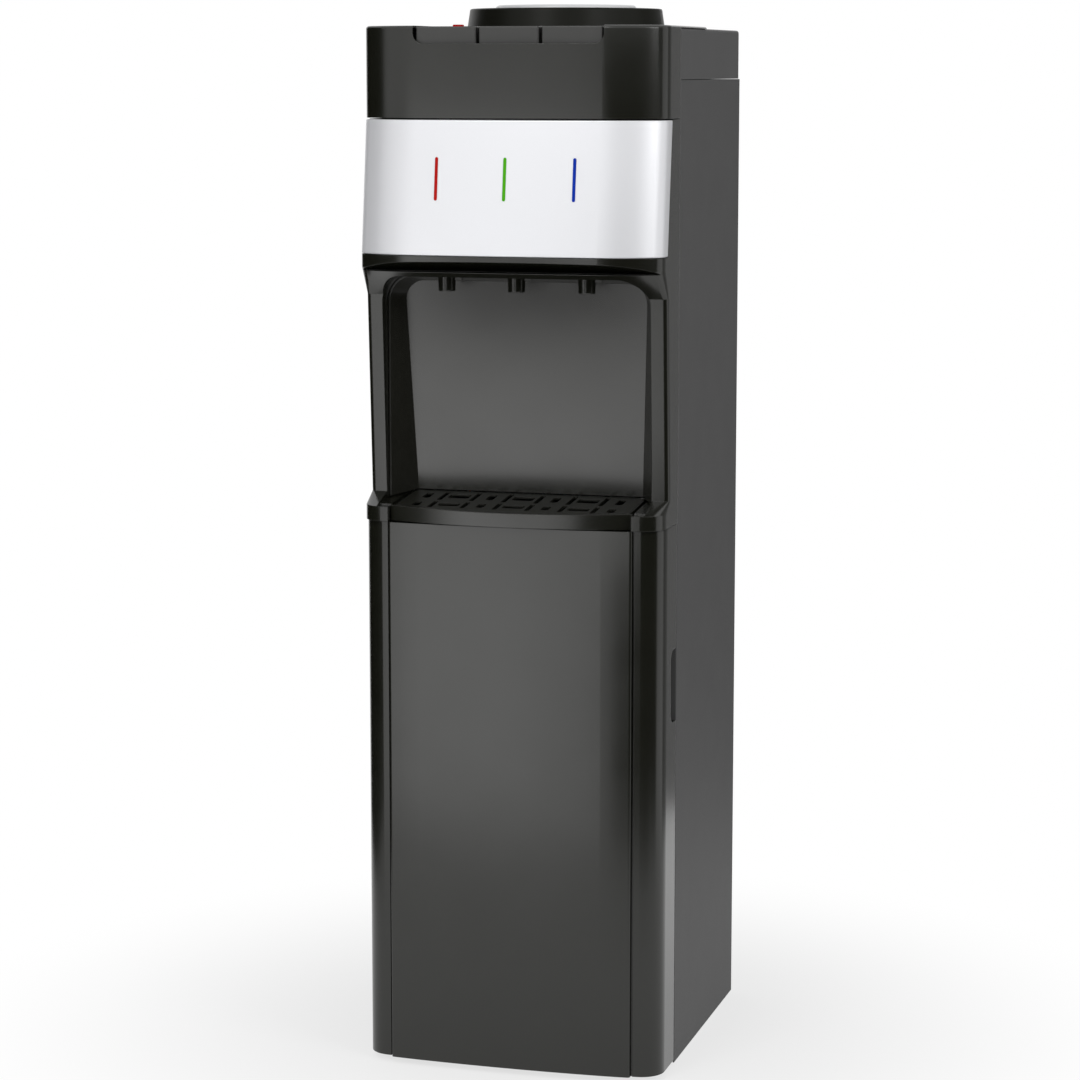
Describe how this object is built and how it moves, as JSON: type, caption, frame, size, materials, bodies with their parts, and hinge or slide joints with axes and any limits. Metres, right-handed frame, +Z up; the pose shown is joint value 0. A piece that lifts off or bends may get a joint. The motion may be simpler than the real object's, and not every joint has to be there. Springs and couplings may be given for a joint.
{
  "type": "water dispenser",
  "caption": "Free-standing top-loading water dispenser with hot, ambient and cold taps, press keys, a drip tray and a storage cabinet behind a hinged door.",
  "frame": {"origin": "centre of the footprint, on the floor", "axes": "+X to the right as seen from the front, -Y towards the user, +Z up"},
  "size_m": [0.31, 0.388, 1.0745],
  "materials": {
    "body_black": "satin black moulded plastic",
    "key_black": "fine satin",
    "grid_black": "matte",
    "liner_black": "glossy vacuum-formed liner",
    "fascia_pearl": "pearl silver-white lacquer",
    "mark_red": "glossy",
    "mark_green": "glossy",
    "mark_blue": "glossy",
    "lock_red": "glossy",
    "side_black": "satin black powder coat",
    "zinc_sheet": "galvanised sheet",
    "foot_rubber": "matte",
    "seat_white": "white",
    "probe_clear": "pale translucent plastic",
    "liner_white": "white moulded liner",
    "tap_black": "glossy",
    "valve_white": "white nylon",
    "spring_steel": "spring wire",
    "tank_steel": "stainless",
    "foam_white": "expanded foam",
    "copper": "copper tube",
    "hose_silicone": "silicone hose",
    "compressor_black": "black enamel",
    "condenser_black": "black enamel",
    "fitting_black": "matte",
    "rocker_red": "glossy",
    "rocker_green": "glossy",
    "screw_steel": "plated"
  },
  "bodies": {
    "cabinet": {"head_cover": "body_black", "top_cover": "body_black", "bottle_collar": "body_black", "front_frame": "body_black", "alcove_liner": "liner_black", "front_fascia": "fascia_pearl", "mark_hot": "mark_red", "mark_ambient": "mark_green", "mark_cold": "mark_blue", "left_side_panel": "side_black", "right_side_panel": "side_black", "base_plate": "zinc_sheet", "rear_panel": "zinc_sheet", "tank_shelves": "zinc_sheet", "valve_bracket": "zinc_sheet", "base_feet": "foot_rubber", "compressor_mounts": "foot_rubber", "cabinet_liner": "liner_white", "spout_hot": "tap_black", "spout_ambient": "tap_black", "spout_cold": "tap_black", "valve_bodies": "valve_white", "tank_lid": "valve_white", "spring_hot": "spring_steel", "spring_ambient": "spring_steel", "spring_cold": "spring_steel", "button_rod": "spring_steel", "door_hinges": "spring_steel", "cold_tank": "tank_steel", "hot_tank": "tank_steel", "heater_band": "tank_steel", "cold_tank_insulation": "foam_white", "hot_tank_jacket": "foam_white", "evaporator_coil": "copper", "refrigerant_lines": "copper", "water_hoses": "hose_silicone", "compressor": "compressor_black", "condenser": "condenser_black", "switch_bezels": "fitting_black", "drain_outlet": "fitting_black", "cord_gland": "fitting_black", "rear_screws": "screw_steel"},
    "door": {"door_frame": "body_black", "door_panel": "body_black", "door_inner": "liner_white", "door_gasket": "foot_rubber"},
    "key_hot": {"button_hot": "key_black"},
    "key_ambient": {"button_ambient": "key_black"},
    "key_cold": {"button_cold": "key_black"},
    "lock": {"child_lock": "lock_red"},
    "stem_hot": {"plunger_hot": "valve_white"},
    "stem_ambient": {"plunger_ambient": "valve_white"},
    "stem_cold": {"plunger_cold": "valve_white"},
    "tray": {"drip_tray": "body_black"},
    "grid": {"drip_grid": "grid_black"},
    "seat": {"bottle_seat": "seat_white", "water_probe": "probe_clear"},
    "switch_hot": {"rocker_hot": "rocker_red"},
    "switch_cold": {"rocker_cold": "rocker_green"},
    "cap": {"drain_cap": "fitting_black"}
  },
  "joints": [
    {"name": "door_hinge", "type": "hinge", "parent": "cabinet", "child": "door", "pos_m": [-0.148, -0.11, 0.285], "axis": [0, 0, -1], "range_deg": [0, 105]},
    {"name": "key_hot_press", "type": "hinge", "parent": "cabinet", "child": "key_hot", "pos_m": [-0.072, -0.118, 1.04], "axis": [1, 0, 0], "range_deg": [0, 7], "stiffness_Nm_per_rad": 0.54, "springref_deg": -5.73},
    {"name": "stem_hot_slide", "type": "slide", "parent": "cabinet", "child": "stem_hot", "axis": [0, 0, -1], "range_m": [0, 0.0038], "deforming": ["spring_hot"]},
    {"name": "key_ambient_press", "type": "hinge", "parent": "cabinet", "child": "key_ambient", "pos_m": [0, -0.118, 1.04], "axis": [1, 0, 0], "range_deg": [0, 7], "stiffness_Nm_per_rad": 0.54, "springref_deg": -5.73},
    {"name": "stem_ambient_slide", "type": "slide", "parent": "cabinet", "child": "stem_ambient", "axis": [0, 0, -1], "range_m": [0, 0.0038], "deforming": ["spring_ambient"]},
    {"name": "key_cold_press", "type": "hinge", "parent": "cabinet", "child": "key_cold", "pos_m": [0.072, -0.118, 1.04], "axis": [1, 0, 0], "range_deg": [0, 7], "stiffness_Nm_per_rad": 0.54, "springref_deg": -5.73},
    {"name": "stem_cold_slide", "type": "slide", "parent": "cabinet", "child": "stem_cold", "axis": [0, 0, -1], "range_m": [0, 0.0038], "deforming": ["spring_cold"]},
    {"name": "lock_slide", "type": "slide", "parent": "key_hot", "child": "lock", "axis": [0, 1, 0], "range_m": [0, 0.004]},
    {"name": "tray_slide", "type": "slide", "parent": "cabinet", "child": "tray", "axis": [0, -1, 0], "range_m": [0, 0.12]},
    {"name": "grid_lift", "type": "slide", "parent": "tray", "child": "grid", "axis": [0, -0.0941, 0.9956], "range_m": [0, 0.06]},
    {"name": "seat_lift", "type": "slide", "parent": "cabinet", "child": "seat", "axis": [0, 0, 1], "range_m": [0, 0.12]},
    {"name": "switch_hot_rock", "type": "hinge", "parent": "cabinet", "child": "switch_hot", "pos_m": [-0.1, 0.1637, 0.944], "axis": [-1, 0, 0], "range_deg": [0, 14]},
    {"name": "switch_cold_rock", "type": "hinge", "parent": "cabinet", "child": "switch_cold", "pos_m": [-0.07, 0.1637, 0.944], "axis": [-1, 0, 0], "range_deg": [0, 14]},
    {"name": "cap_pull", "type": "slide", "parent": "cabinet", "child": "cap", "axis": [0, 1, 0], "range_m": [0, 0.03]}
  ],
  "couplings": [
    {"joint": "stem_hot_slide", "follows": "key_hot_press", "m_per_rad": 0.031},
    {"joint": "stem_ambient_slide", "follows": "key_ambient_press", "m_per_rad": 0.031},
    {"joint": "stem_cold_slide", "follows": "key_cold_press", "m_per_rad": 0.031}
  ]
}
